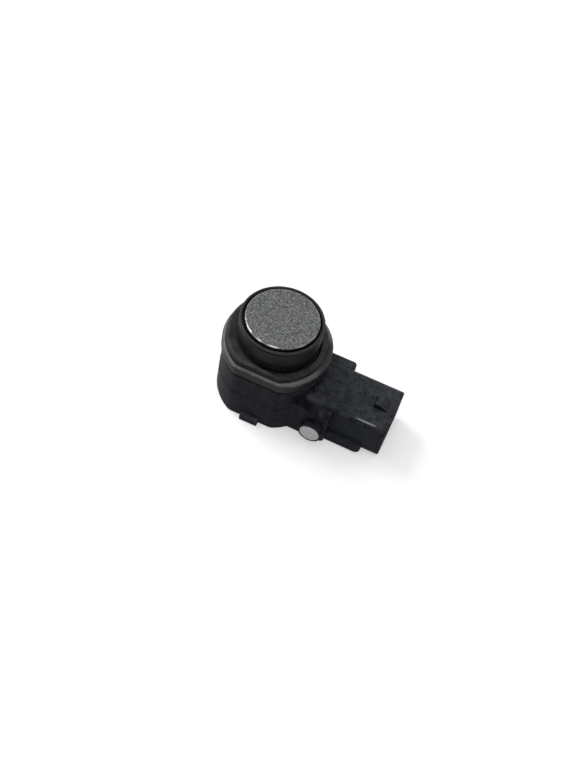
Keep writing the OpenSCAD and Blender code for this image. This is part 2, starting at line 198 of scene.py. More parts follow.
def into_scene(name, data):
    """New object of a mesh, lamp or camera, linked into the scene."""
    made = bpy.data.objects.new(name, data)
    bpy.context.scene.collection.objects.link(made)
    return made


def make_piece(name, shapes, material):
    """One object from finished bmesh shapes, shaded smooth with flat faces kept flat."""
    whole = new_shape()
    for shape in shapes:
        carrier = bpy.data.meshes.new("carrier")
        shape.to_mesh(carrier)
        shape.free()
        whole.from_mesh(carrier)
        bpy.data.meshes.remove(carrier)
    mesh = bpy.data.meshes.new(name)
    whole.to_mesh(mesh)
    whole.free()
    mesh.polygons.foreach_set("use_smooth", [True] * len(mesh.polygons))
    mesh.set_sharp_from_angle(angle=radians(42))
    mesh.materials.append(material)
    piece = into_scene(name, mesh)
    even = piece.modifiers.new("even_shading", "WEIGHTED_NORMAL")
    even.keep_sharp = True
    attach(piece, "root")
    return piece


def add(tree, kind, inputs=None, **settings):
    """New shader node with its settings and its inputs, which are values or other sockets."""
    made = tree.nodes.new(kind)
    for key, value in settings.items():
        setattr(made, key, value)
    for key, value in (inputs or {}).items():
        if isinstance(value, bpy.types.NodeSocket):
            tree.links.new(value, made.inputs[key])
        else:
            made.inputs[key].default_value = value
    return made


def effect(name, inputs, outputs):
    """Empty node group with number inputs and outputs; returns the tree, its input and output."""
    tree = bpy.data.node_groups.new(name, "ShaderNodeTree")
    for key, value in inputs.items():
        tree.interface.new_socket(key, in_out="INPUT", socket_type="NodeSocketFloat").default_value = value
    for key in outputs:
        tree.interface.new_socket(key, in_out="OUTPUT", socket_type="NodeSocketFloat")
    return tree, add(tree, "NodeGroupInput"), add(tree, "NodeGroupOutput")


def placed(tree, group, **inputs):
    """Places a node group in a material with its own values; returns its outputs."""
    return add(tree, "ShaderNodeGroup", inputs, node_tree=group).outputs


def finish(name, **constants):
    """New material; returns it, its tree and its shader with the constant sockets set."""
    material = bpy.data.materials.new(name)
    material.use_nodes = True
    tree = material.node_tree
    shader = tree.nodes["Principled BSDF"]
    for key, value in constants.items():
        shader.inputs[key.replace("_", " ")].default_value = value
    return material, tree, shader


def skin(tree, shader, colour, rough, height, strength, depth):
    """Ends a finish: links its colour and roughness, and height as a bump of some depth in mm."""
    bump = add(tree, "ShaderNodeBump", {"Height": height, "Strength": strength, "Distance": depth * mm})
    for socket, value in (("Base Color", colour), ("Roughness", rough), ("Normal", bump.outputs["Normal"])):
        tree.links.new(value, shader.inputs[socket])


def noise(tree, scale, detail, roughness=0.5):
    """Noise over the piece's own coordinates."""
    place = add(tree, "ShaderNodeTexCoord").outputs["Object"]
    return add(tree, "ShaderNodeTexNoise", {
        "Vector": place, "Scale": scale, "Detail": detail, "Roughness": roughness}).outputs["Fac"]


def tones(tree, fac, dark, light, low=0.3, high=0.7):
    """Colour that runs from dark to light while fac runs from low to high."""
    ramp = add(tree, "ShaderNodeValToRGB", {"Fac": fac})
    for stop, place, colour in zip(ramp.color_ramp.elements, (low, high), (dark, light)):
        stop.position = place
        stop.color = (*colour, 1)
    return ramp.outputs["Color"]


def layered(tree, colour, *layers):
    """Lays plain colours over a colour, one after the other, each where its mask is 1."""
    for mask, over in layers:
        mix = add(tree, "ShaderNodeMix", {"Factor": mask, "A": colour, "B": (*over, 1)}, data_type="RGBA")
        colour = mix.outputs["Result"]
    return colour


def ranged(tree, value, low, high, start=0.0, end=1.0):
    """Number that runs from low to high while value runs from start to end."""
    return add(tree, "ShaderNodeMapRange", {
        "Value": value, "From Min": start, "From Max": end, "To Min": low, "To Max": high}).outputs[0]


def product(tree, first, *others):
    """Product of two or more numbers."""
    for other in others:
        first = add(tree, "ShaderNodeMath", {0: first, 1: other}, operation="MULTIPLY").outputs[0]
    return first


def remainder(tree, value):
    """What value leaves of 1."""
    return add(tree, "ShaderNodeMath", {0: 1.0, 1: value}, operation="SUBTRACT").outputs[0]


def patch_at(tree, centre, reach, soft=0.4):
    """1 inside an ellipsoid round centre, in mm, and 0 outside it; soft is the share that fades."""
    place = add(tree, "ShaderNodeTexCoord").outputs["Object"]
    moved = add(tree, "ShaderNodeMapping", {
        "Vector": place, "Location": [-c / r for c, r in zip(centre, reach)],
        "Scale": [1 / (r * mm) for r in reach]})
    ball = add(tree, "ShaderNodeTexGradient", {"Vector": moved.outputs["Vector"]}, gradient_type="SPHERICAL")
    return add(tree, "ShaderNodeMapRange", {"Value": ball.outputs["Fac"], "From Max": soft},
               interpolation_type="SMOOTHSTEP").outputs[0]


# Fine moulded grain and the slow tone drift of a moulding
moulded_grain, ins, outs = effect("moulded_grain", {"Scale": 6000.0}, ("Height", "Tone"))
moulded_grain.links.new(noise(moulded_grain, ins.outputs["Scale"], 3.0), outs.inputs["Height"])
moulded_grain.links.new(noise(moulded_grain, 700.0, 5.0, 0.75), outs.inputs["Tone"])

# Dust that settles in patches on what faces up, and a thin film there that is partly dust and partly painted
# top light
dust_and_top_light, ins, outs = effect("dust_and_top_light", {"Patch": 300.0, "Start": 0.5}, ("Mask", "Film_and_Top_Light"))
normal = add(dust_and_top_light, "ShaderNodeNewGeometry").outputs["Normal"]
normal_z = add(dust_and_top_light, "ShaderNodeSeparateXYZ", {"Vector": normal}).outputs["Z"]
facing = ranged(dust_and_top_light, normal_z, 0.0, 1.0, -0.1, 0.9)
spread = noise(dust_and_top_light, ins.outputs["Patch"], 7.0, 0.68)
laid = ranged(dust_and_top_light, spread, 0.0, 1.0, ins.outputs["Start"], 0.78)
grit = ranged(dust_and_top_light, noise(dust_and_top_light, 5200.0, 2.0), 0.35, 1.0, 0.35, 0.6)
dust_and_top_light.links.new(product(dust_and_top_light, facing, laid, grit), outs.inputs["Mask"])
dust_and_top_light.links.new(product(dust_and_top_light, facing, facing), outs.inputs["Film_and_Top_Light"])

# Worn and lit edges: the rounded faces, whole and broken up by noise, which carry real wear and, on some
# finishes, a painted highlight
worn_and_lit_edges, ins, outs = effect("worn_and_lit_edges", {"Break": 900.0}, ("Mask", "Edge"))
marked = add(worn_and_lit_edges, "ShaderNodeAttribute", attribute_name="edge").outputs["Fac"]
kept = ranged(worn_and_lit_edges, noise(worn_and_lit_edges, ins.outputs["Break"], 4.0), 0.0, 1.0, 0.42, 0.66)
worn_and_lit_edges.links.new(product(worn_and_lit_edges, marked, kept), outs.inputs["Mask"])
worn_and_lit_edges.links.new(marked, outs.inputs["Edge"])

# Finish of the body: blue-black nylon, matt, with a grey film on the upper faces that is partly dust and
# partly painted top light, painted shade on the near side of the neck, a dusty spot at the socket's root,
# painted light on the socket's near side and one painted highlight above it
nylon_dark, nylon_light = (0.0008, 0.0012, 0.0028), (0.0145, 0.0157, 0.0192)
rubbed_nylon, nylon_film_and_top_light, nylon_dust = (0.016, 0.017, 0.02), (0.055, 0.059, 0.068), (0.06, 0.064, 0.071)
smear_grey, near_side_light_grey, highlight_grey = (0.075, 0.08, 0.088), (0.024, 0.027, 0.034), (0.22, 0.225, 0.235)
highlight_at, highlight_reach = (plug_reach - 4.7, 0.7 - plug_half, plug_top - 0.32), (2.7, 0.24, 0.24)
painted_shade_at, painted_shade_reach = (body_r + 0.1, 0.3 - neck_half, neck_top - 0.5), (6.5, 3.2, 3.5)
smear_at, smear_reach, smear_share = (body_r + 0.5, 0.8 - plug_half, plug_top - 0.1), (3, 1.6, 2), 0.8
near_side_light_at, near_side_light_reach, near_side_light_share = (plug_reach - 6.3, -plug_half - 0.1, pin_z), (9, 2.2, 6), 0.45
body_plastic, tree, shader = finish("body_plastic", Specular_IOR_Level=0.06)
grain = placed(tree, moulded_grain, Scale=5200.0)
dust_and_light = placed(tree, dust_and_top_light, Patch=260.0, Start=0.5)
wear_and_glint = placed(tree, worn_and_lit_edges, Break=700.0)
# Painted highlight: a pale streak along the socket's near upper rounding
highlight = patch_at(tree, highlight_at, highlight_reach, soft=0.3)
# Painted shade on the near top of the neck, where the film is taken off
painted_shade = patch_at(tree, painted_shade_at, painted_shade_reach)
smear = product(tree, patch_at(tree, smear_at, smear_reach, soft=1), grain["Tone"], smear_share)
# Painted light: the socket's near side is lightened
near_side_light = product(tree, patch_at(tree, near_side_light_at, near_side_light_reach, soft=0.7), near_side_light_share)
mottle = ranged(tree, grain["Tone"], 0.24, 0.66, 0.38, 0.62)
# Grey film on the upper faces, partly dust and partly painted top light, thinned by the painted shade on the
# neck
film_and_top_light = product(tree, dust_and_light["Film_and_Top_Light"], remainder(tree, painted_shade), mottle)
tone = tones(tree, grain["Tone"], nylon_dark, nylon_light, 0.37, 0.63)
colour = layered(
    tree, tone, (wear_and_glint["Mask"], rubbed_nylon), (film_and_top_light, nylon_film_and_top_light), (dust_and_light["Mask"], nylon_dust),
    (smear, smear_grey), (near_side_light, near_side_light_grey), (highlight, highlight_grey))
rough = ranged(tree, grain["Tone"], 0.45, 0.65)
skin(tree, shader, colour, rough, grain["Height"], strength=0.3, depth=0.04)


def level(inset, z):
    """Station of the body's outline at height z, set in by inset."""
    return body_r - inset, body_f - inset, z


# Drum: skirt, step, side, joint groove under the collar, rim, ledge and pocket
drum = new_shape()
loops = carry(drum, flat_sided(drum, body_r + skirt_out, body_f + skirt_out, blend), [
    level(-skirt_out, 0), level(-skirt_out, step_low), level(0, step_top),
    level(0, seat_z - joint_h), level(joint_in, seat_z - joint_h), level(joint_in, seat_z),
    level(wall - ledge, seat_z), level(wall - ledge, plate_z), level(wall, plate_z), level(wall, floor_z)])
for end in (loops[0], loops[-1]):
    bmesh.ops.contextual_create(drum, geom=end)
bmesh.ops.recalc_face_normals(drum, faces=drum.faces[:])
round_edges(drum, loops[0], foot_edge)
round_edges(drum, loops[3], joint_edge, 2)
body = [drum]

# Posts that carry the board
post_h = board_z - floor_z + short_overlap
for x in (-post_x, post_x):
    for y in (-post_y, post_y):
        post = rod(post_r, post_h, (x, y, board_z - post_h / 2), 24)
        round_edges(post, edges_where(post, lambda x, y, z: near(z, board_z)), post_edge, 2)
        body.append(post)

# Snap noses at the foot of both flats, sloping off above
nose_y = body_f + skirt_out + nose_out
for side in (-1, 1):
    inner = nose_y - nose_out - overlap
    nose = box(-nose_w / 2, nose_w / 2, *sorted((side * inner, side * nose_y)), 0, nose_h)
    upper = [v for v in nose.verts if v.co.z > mm and near(v.co.y * side / mm, nose_y)]
    bmesh.ops.translate(nose, vec=(0, -side * nose_lean * mm, -nose_h / 2 * mm), verts=upper)
    front_y = (nose_y - 2 * nose_lean) * mm
    front = [e for e in nose.edges if any(v.co.y * side > front_y for v in e.verts)]
    round_edges(nose, front, nose_edge, 4)
    body.append(nose)

# Neck between drum and socket
inside = body_r - bite
neck = box(core_x, neck_reach, -neck_half, neck_half, neck_low, neck_top)
round_edges(neck, edges_along(neck, "Z", lambda x, y, z: near(x, neck_reach)), neck_corner, 6)
round_edges(neck, edges_where(neck, lambda x, y, z: near(z, neck_top)), neck_top_edge)
round_edges(neck, edges_where(neck, lambda x, y, z: near(z, neck_low)), neck_low_edge)
bury(neck, inside)
body.append(neck)

# Plug socket: a rounded bar whose inner end lies in the drum's wall, with a rim and a deep inside
socket = box(core_x, plug_reach, -plug_half, plug_half, plug_low, plug_top)
for high, radius, segments in ((plug_top, plug_r, 8), (plug_low, belly_r, 10)):
    long_edges = edges_along(socket, "X", lambda x, y, z: near(z, high))
    round_edges(socket, long_edges, radius, segments)
mouth = max(socket.faces, key=lambda f: f.calc_center_median().x)
rim = mouth.edges[:]
sink(socket, mouth, plug_wall, (-plug_depth, 0, 0))
round_edges(socket, rim, rim_edge, 4)
bury(socket, inside)
body.append(socket)

# Hollow curve where the drum meets the top of the socket
root = new_shape()
crown, under, within = plug_top + fillet_r, plug_top - short_overlap, body_r - overlap
corner = root.verts.new((body_r * mm, 0, crown * mm))
curve_centre = Vector((body_r + fillet_r, 0, crown)) * mm
bmesh.ops.spin(root, geom=[corner], cent=curve_centre, axis=(0, -1, 0), angle=pi / 2, steps=10)
foot = max(root.verts, key=lambda v: v.co.x)
hidden = [root.verts.new((x * mm, 0, z * mm)) for x, z in (
    (body_r + fillet_r, under), (within, under), (within, crown))]
for a, b in zip([foot] + hidden, hidden + [corner]):
    root.edges.new((a, b))
wedge = bmesh.ops.contextual_create(root, geom=root.edges[:])["faces"][0]
half_turn = atan2(plug_half - plug_r, body_r + fillet_r)
bmesh.ops.rotate(root, cent=(0, 0, 0), matrix=Matrix.Rotation(-half_turn, 3, "Z"), verts=root.verts[:])
bmesh.ops.spin(root, geom=[wedge], cent=(0, 0, 0), axis=(0, 0, 1), angle=2 * half_turn, steps=24)
bmesh.ops.recalc_face_normals(root, faces=root.faces[:])
body.append(root)

# Latch lug: a ramp towards the mouth, steep behind
lug_front = plug_reach - lug_setback
lug_rear, lug_low, lug_top = lug_front - lug_l, plug_top - overlap, plug_top + lug_h
lug = slab((
    (lug_rear, lug_low), (lug_front, lug_low), (lug_front, plug_top), (lug_front - lug_ramp, lug_top),
    (lug_rear + lug_back, lug_top), (lug_rear, plug_top)), -lug_w / 2, lug_w / 2)
round_edges(lug, edges_where(lug, lambda x, y, z: z > plug_top - overlap / 2), lug_edge)
body.append(lug)

# Keying ribs low on both sides, with a round end before the mouth
rib_end, rib_y, rib_top = plug_reach - rib_setback, plug_half + rib_out, plug_low + rib_h
for side in (-1, 1):
    inner = plug_half - belly_r - rib_in
    rib = box(neck_reach - neck_corner, rib_end, *sorted((side * inner, side * rib_y)), plug_low, rib_top)
    round_edges(rib, edges_where(rib, lambda x, y, z: near(x, rib_end) and near(abs(y), rib_y)), rib_end_r, 8)
    round_edges(rib, edges_where(rib, lambda x, y, z: near(z, rib_top)), rib_top_edge)
    round_edges(rib, edges_where(rib, lambda x, y, z: near(z, plug_low)), rib_low_edge)
    body.append(rib)

# Locating pins, one bar through the neck; the near end is sunk for the light plug
across = Matrix.Rotation(pi / 2, 4, "X")
pin = rod(pin_r, 2 * pin_end, (pin_x, 0, pin_z), 72, across)
near_end = min(pin.faces, key=lambda f: f.calc_center_median().y)
sink(pin, near_end, pin_r - dot_r - slip, (0, dot_t, 0))
for end in (-pin_end, pin_end):
    rim = edges_where(pin, lambda x, y, z: near(y, end) and near(hypot(x - pin_x, z - pin_z), pin_r))
    round_edges(pin, rim, pin_edge)
body.append(pin)

housing = make_piece("housing_moulding", body, body_plastic)
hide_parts("housing")

# Terminals: three square tinned pins, cut from brass wire and bent up into the board.
# They are pressed through the socket's floor and end in a tapered tip inside it.
terminal_s, terminal_pitch, terminal_top = 0.64, 2.5, reach_of("terminal_1", "Z")
bend_in, bend_r, wire_edge = 1.6, 0.5, 0.03
tip_x, tip_taper, tip_thin, tip_narrow = reach_of("terminal_1", "X"), 0.9, 1 / 3, 0.34
tin_dark, tin_light = (0.42, 0.41, 0.38), (0.68, 0.67, 0.64)
tinned, tree, shader = finish("tinned_brass", Metallic=1.0)
grain = placed(tree, moulded_grain, Scale=9000.0)
tree.links.new(tones(tree, grain["Tone"], tin_dark, tin_light, 0, 1), shader.inputs["Base Color"])
tree.links.new(ranged(tree, grain["Height"], 0.22, 0.45), shader.inputs["Roughness"])
half, wire_z = terminal_s / 2, (plug_low + plug_top) / 2
wire_low, wire_top, tip_half = wire_z - half, wire_z + half, half * tip_thin
bend_x = body_r - wall - bend_in
for i in (1, 2, 3):
    y = (i - 2) * terminal_pitch
    wire = slab((
        (bend_x - half, wire_low), (tip_x - tip_taper, wire_low), (tip_x, wire_z - tip_half),
        (tip_x, wire_z + tip_half), (tip_x - tip_taper, wire_top), (bend_x + half, wire_top),
        (bend_x + half, terminal_top), (bend_x - half, terminal_top)), y - half, y + half)
    tip = [v for v in wire.verts if near(v.co.x / mm, tip_x)]
    bmesh.ops.scale(wire, vec=(1, tip_narrow, 1), verts=tip, space=Matrix.Translation((0, -y * mm, 0)))
    bend = edges_where(wire, lambda x, y, z: near(x, bend_x - half) and near(z, wire_low))
    round_edges(wire, bend, bend_r, 6)
    round_edges(wire, wire.edges[:], wire_edge, 1)
    terminal = make_piece("terminal_pin_%d" % i, [wire], tinned)
    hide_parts("terminal_%d" % i)

# Light plug: a small pale-grey disc pressed into the sunk end of the near pin.
# Moulded in plain plastic, with a slightly sandy face.
dot_edge = 0.12
plug_dark, plug_light, rubbed_plug = (0.38, 0.385, 0.39), (0.64, 0.65, 0.65), (0.55, 0.56, 0.56)
pale_plug, tree, shader = finish("pale_plug", Specular_IOR_Level=0.3)
grain = placed(tree, moulded_grain, Scale=3800.0)
wear_and_glint = placed(tree, worn_and_lit_edges, Break=1500.0)
tone = tones(tree, grain["Height"], plug_dark, plug_light)
colour = layered(tree, tone, (wear_and_glint["Mask"], rubbed_plug))
rough = ranged(tree, grain["Tone"], 0.45, 0.65)
skin(tree, shader, colour, rough, grain["Height"], strength=0.35, depth=0.03)
dot = rod(dot_r, dot_t, (pin_x, dot_t / 2 - pin_end, pin_z), 64, across)
round_edges(dot, edges_where(dot, lambda x, y, z: near(y, -pin_end)), dot_edge)
plug = make_piece("pin_plug", [dot], pale_plug)
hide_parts("stud_plug")


# Circuit board and its parts: a small green board on four posts, soldered to the terminals,
# with a chip, a wound ferrite spool, a can capacitor, a diode and two rows of chip parts.
def inner_finish(name, dark, light, scale, rough_range, metallic=0.0):
    """Finish of a piece inside: two tones in a fine grain, with a range of roughness."""
    material, tree, shader = finish(name, Metallic=metallic)
    grain = placed(tree, moulded_grain, Scale=scale)
    colour = tones(tree, grain["Height"], dark, light)
    rough = ranged(tree, grain["Tone"], *rough_range)
    skin(tree, shader, colour, rough, grain["Height"], strength=0.2, depth=0.03)
    return material


def dress(material, *nodes):
    """Puts a finish on pieces that keep their own solids."""
    for node in nodes:
        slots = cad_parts[node].data.materials
        slots.clear()
        slots.append(material)


mask_green = inner_finish("solder_mask", (0.012, 0.085, 0.035), (0.022, 0.13, 0.055), 2200.0, (0.3, 0.45))
chip_black = inner_finish("chip_black", (0.009, 0.009, 0.01), (0.018, 0.018, 0.019), 5000.0, (0.5, 0.7))
ferrite = inner_finish("ferrite", (0.045, 0.043, 0.045), (0.075, 0.072, 0.075), 4000.0, (0.55, 0.75))
copper = inner_finish("enamelled_copper", (0.4, 0.14, 0.05), (0.6, 0.25, 0.1), 3000.0, (0.25, 0.4), 1.0)
bright_can = inner_finish("can_aluminium", (0.5, 0.5, 0.52), (0.62, 0.63, 0.65), 3500.0, (0.3, 0.45), 1.0)
ceramic = inner_finish("tan_ceramic", (0.36, 0.27, 0.16), (0.48, 0.37, 0.24), 4200.0, (0.35, 0.5))
dress(mask_green, "circuit_board")
dress(chip_black, "driver_chip", "clamp_diode", "chip_resistors")
dress(ferrite, "transformer_core")
dress(copper, "transformer_winding")
dress(bright_can, "storage_capacitor")
dress(ceramic, "chip_capacitors")

# Inner plate: a thin moulded plate on the housing's ledge, which closes the electronics
# and carries the foot of the soft sleeve; the leads pass through its round hole.
dress(body_plastic, "inner_plate")

# Decoupling sleeve: one soft silicone moulding. Its foot lies under the collar, its shoulder swells
# over the collar's rim, and the sleeve stands up out of a moat and holds the cup free of the body.
collar_r, collar_f, collar_top = (reach_of("front_collar", axis) for axis in "XYZ")
collar_rim, collar_skirt = 1, 0.6
foot_h, web_t, web_r = 1.2, 1, 5
shoulder_r, shoulder_f, shoulder_top, shoulder_back, shoulder_tilt = 10.75, 10.2, 17.9, 0.3, radians(2.5)
brow_in, crest_edge = 0.7, 0.5
moat_z, moat_r, moat_depth, moat_shift, moat_tilt = 16.3, 9, 1.2, (0.3, -0.3, 0), radians(5)
bank_in, bank_h, moat_edge = 0.3, 0.4, 0.2
sleeve_r, land_low, disc_z = 8.2, 19.5, reach_of("decoupling_sleeve", "Z")
face_r, cup_r = reach_of("membrane_cup", "X"), 7
rubber_dark, rubber_light = (0.0065, 0.0065, 0.0078), (0.0195, 0.019, 0.0205)
rubber_film_and_top_light, rubber_dust = (0.055, 0.055, 0.059), (0.1, 0.097, 0.098)
painted_shade_at, painted_shade_reach = (6, -8, shoulder_top - 0.4), (9, 5, 4)
soft_rubber, tree, shader = finish("soft_rubber", Specular_IOR_Level=0.06)
grain = placed(tree, moulded_grain, Scale=3600.0)
dust_and_light = placed(tree, dust_and_top_light, Patch=520.0, Start=0.36)
# Painted shade on the near-right of the shelf, where the film of dust and painted top light is thinned
painted_shade = patch_at(tree, painted_shade_at, painted_shade_reach, soft=0.6)
film_and_top_light = product(tree, dust_and_light["Film_and_Top_Light"], ranged(tree, painted_shade, 0.58, 0.15))
tone = tones(tree, grain["Tone"], rubber_dark, rubber_light, 0.36, 0.64)
colour = layered(tree, tone, (film_and_top_light, rubber_film_and_top_light), (dust_and_light["Mask"], rubber_dust))
rough = ranged(tree, grain["Tone"], 0.55, 0.75)
skin(tree, shader, colour, rough, grain["Height"], strength=0.3, depth=0.05)


def held(inset, z):
    """Station of the collar's outline at height z, set in by inset."""
    return collar_r - inset, collar_f - inset, z


sleeve = new_shape()
foot_in, waist_in, bore_r = collar_skirt + slip, collar_rim + slip, cup_r + slip
rounds = [
    (moat_r, moat_z + moat_depth), (moat_r - bank_in, moat_z + bank_h), (sleeve_r, moat_z),
    (sleeve_r, land_low - slip), (face_r, land_low - slip), (face_r, disc_z), (bore_r, disc_z),
    (bore_r, seat_z + web_t), (web_r, seat_z + web_t), (web_r, seat_z)]
loops = carry(sleeve, flat_sided(sleeve, collar_r - foot_in, collar_f - foot_in, blend - foot_in), [
    held(foot_in, seat_z), held(foot_in, seat_z + foot_h), held(waist_in, seat_z + foot_h),
    held(waist_in, collar_top + slip), (shoulder_r, shoulder_f, collar_top + slip),
    (shoulder_r, shoulder_f, shoulder_top), (shoulder_r - brow_in, shoulder_f - brow_in, shoulder_top)]
    + [(r, r, z) for r, z in rounds])

# Inside the shoulder the loops are round, so each vertex goes to its own loop's radius
for loop, (radius, _) in zip(loops[-len(rounds):], rounds):
    for v in points(loop):
        v.co.xy = v.co.xy.normalized() * radius * mm

# The shoulder sits back from the socket and dips towards it; the moat is wider on the near right
# and deeper towards the socket
lip, crest, brow, moat_rim, bank, moat_floor = loops[4:10]
bmesh.ops.translate(sleeve, vec=(-shoulder_back * mm, 0, 0), verts=points(lip, crest, brow))
bmesh.ops.rotate(sleeve, cent=(0, 0, shoulder_top * mm), matrix=Matrix.Rotation(shoulder_tilt, 3, "Y"),
                 verts=points(crest, brow))
bmesh.ops.translate(sleeve, vec=Vector(moat_shift) * mm, verts=points(moat_rim))
bmesh.ops.rotate(sleeve, cent=(0, 0, moat_z * mm), matrix=Matrix.Rotation(moat_tilt, 3, "Y"),
                 verts=points(bank, moat_floor))
bmesh.ops.bridge_loops(sleeve, edges=loops[0] + loops[-1])
bmesh.ops.recalc_face_normals(sleeve, faces=sleeve.faces[:])
round_edges(sleeve, crest, crest_edge, 5)
round_edges(sleeve, moat_rim + bank, moat_edge)
soft = make_piece("soft_sleeve", [sleeve], soft_rubber)
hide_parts("decoupling_sleeve")

# Front collar: a flat-sided frame moulded in dark grey nylon, welded to the housing's rim.
# It clamps the foot of the sleeve; its upper edge is bevelled, rubbed pale and painted lighter as a
# highlight.
collar_bevel, undercut_in, undercut_h, collar_edge = 0.35, 0.4, 0.45, 0.12
collar_dark, collar_light = (0.0085, 0.0085, 0.0105), (0.0185, 0.0185, 0.0205)
collar_film_and_top_light, collar_dust, collar_edge_wear_and_glint = (0.19, 0.19, 0.193), (0.13, 0.125, 0.115), (0.19, 0.19, 0.19)
side_shade_black, rim_shade_black = (0.006, 0.006, 0.007), (0.018, 0.018, 0.02)
side_shade_at, side_shade_reach, side_shade_share = (10, -5, seat_z + 0.5), (9, 9, 3), 0.7
painted_light_at, painted_light_reach, rim_shade_share = (12, 2, collar_top), (3.5, 8, 3), 0.8
collar_plastic, tree, shader = finish("collar_plastic", Specular_IOR_Level=0.1)
grain = placed(tree, moulded_grain, Scale=4200.0)
dust_and_light = placed(tree, dust_and_top_light, Patch=330.0, Start=0.42)
wear_and_glint = placed(tree, worn_and_lit_edges, Break=520.0)
# The film on the upward faces and chamfer is partly dust and partly a painted highlight
film_and_top_light = product(tree, dust_and_light["Film_and_Top_Light"], 0.85)
# Painted shade on the collar's near-right side
side_shade = product(tree, patch_at(tree, side_shade_at, side_shade_reach, soft=0.6), side_shade_share)
# Painted shade on the right part of the collar's rim
painted_light = product(tree, patch_at(tree, painted_light_at, painted_light_reach, soft=0.5), rim_shade_share)
tone = tones(tree, grain["Tone"], collar_dark, collar_light)
colour = layered(
    tree, tone, (film_and_top_light, collar_film_and_top_light), (wear_and_glint["Mask"], collar_edge_wear_and_glint), (dust_and_light["Mask"], collar_dust),
    (side_shade, side_shade_black), (painted_light, rim_shade_black))
rough = ranged(tree, grain["Tone"], 0.38, 0.58)
skin(tree, shader, colour, rough, grain["Height"], strength=0.3, depth=0.04)
clamp = new_shape()
under_z, hook_z = seat_z + undercut_h, seat_z + foot_h + slip
start = flat_sided(clamp, collar_r - undercut_in, collar_f - undercut_in, blend - undercut_in)
loops = carry(clamp, start, [
    held(undercut_in, seat_z), held(undercut_in, under_z), held(0, under_z),
    held(0, collar_top - collar_bevel), held(collar_bevel, collar_top), held(collar_rim, collar_top),
    held(collar_rim, hook_z), held(collar_skirt, hook_z), held(collar_skirt, seat_z)])
bmesh.ops.bridge_loops(clamp, edges=loops[0] + loops[-1])
bmesh.ops.recalc_face_normals(clamp, faces=clamp.faces[:])
round_edges(clamp, loops[2] + loops[3] + loops[4], collar_edge, 2)
collar = make_piece("clamp_collar", [clamp], collar_plastic)
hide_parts("front_collar")

# Membrane cup: deep-drawn aluminium. The wide disc in front is painted in a metallic grey,
# the narrow wall behind it sits in the sleeve, and the paint is rubbed thin on the near rounded edge, which
# is also painted light as a highlight.
face_z, membrane_t, cup_wall = reach_of("membrane_cup", "Z"), 0.7, 1
edge_r, edge_land, paint_fade = 0.26, 0.5, 0.1
paint_dark, paint_middle, paint_light = (0.022, 0.023, 0.024), (0.083, 0.087, 0.089), (0.27, 0.275, 0.28)
bare_edge_and_glint, dark_side = (0.95, 0.96, 0.97), (0.006, 0.006, 0.007)
painted_light_at, painted_light_reach = (-3.5, -7, face_z), (7, 5.5, 3)
face_paint, tree, shader = finish("face_paint", Specular_IOR_Level=0.4, Coat_Roughness=0.1)
place = add(tree, "ShaderNodeTexCoord").outputs["Object"]
grain = placed(tree, moulded_grain, Scale=5000.0)
wear_and_glint = placed(tree, worn_and_lit_edges, Break=420.0)
flakes = add(tree, "ShaderNodeTexVoronoi", {"Vector": place, "Scale": 7600.0})
pick = add(tree, "ShaderNodeSeparateColor", {"Color": flakes.outputs["Color"]}).outputs
glint = tones(tree, pick["Red"], paint_dark, paint_light, 0, 1)
glint.node.color_ramp.elements.new(0.5).color = (*paint_middle, 1)
height = add(tree, "ShaderNodeSeparateXYZ", {"Vector": place}).outputs["Z"]
# Below the rounded edge the disc's side is darkened to near black
side_top = face_z - edge_r
painted = ranged(tree, height, 0.0, 1.0, (side_top - paint_fade) * mm, side_top * mm)
# The near rounded edge is rubbed bare and painted light as a highlight
painted_light = ranged(tree, patch_at(tree, painted_light_at, painted_light_reach, soft=0.6), 0.25, 1.0)
colour = layered(
    tree, glint, (product(tree, wear_and_glint["Mask"], painted_light), bare_edge_and_glint), (remainder(tree, painted), dark_side))
metal = product(tree, ranged(tree, pick["Green"], 0.15, 0.75), painted)
tree.links.new(metal, shader.inputs["Metallic"])
tree.links.new(product(tree, wear_and_glint["Edge"], painted_light), shader.inputs["Coat Weight"])
rough = ranged(tree, pick["Blue"], 0.36, 0.6)
skin(tree, shader, colour, rough, grain["Height"], strength=0.35, depth=0.03)


def turned(profile, steps=160):
    """Body of revolution about Z from a closed or axis-to-axis profile of (radius, z)."""
    bm = new_shape()
    corners = [bm.verts.new((r * mm, 0, z * mm)) for r, z in profile]
    for a, b in zip(corners, corners[1:]):
        bm.edges.new((a, b))
    if profile[0][0] > 0:
        bm.edges.new((corners[-1], corners[0]))
    bmesh.ops.spin(bm, geom=bm.verts[:] + bm.edges[:], cent=(0, 0, 0), axis=(0, 0, 1), angle=2 * pi,
                   steps=steps, use_merge=True)
    bmesh.ops.remove_doubles(bm, verts=bm.verts[:], dist=1e-7)
    bmesh.ops.recalc_face_normals(bm, faces=bm.faces[:])
    return bm


def ring_at(bm, r, z):
    """Edges of the ring of radius r at height z."""
    return edges_where(bm, lambda x, y, high: near(hypot(x, y), r) and near(high, z))


back_z, cup_z, cup_in = face_z - membrane_t, seat_z + web_t, cup_r - cup_wall
cup = turned([
    (0, back_z), (cup_in, back_z), (cup_in, cup_z), (cup_r, cup_z), (cup_r, disc_z), (face_r, disc_z),
    (face_r, face_z), (face_r - edge_land, face_z), (0, face_z)])
round_edges(cup, ring_at(cup, face_r, face_z), edge_r, 4)
membrane = make_piece("painted_cup", [cup], face_paint)
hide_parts("membrane_cup")

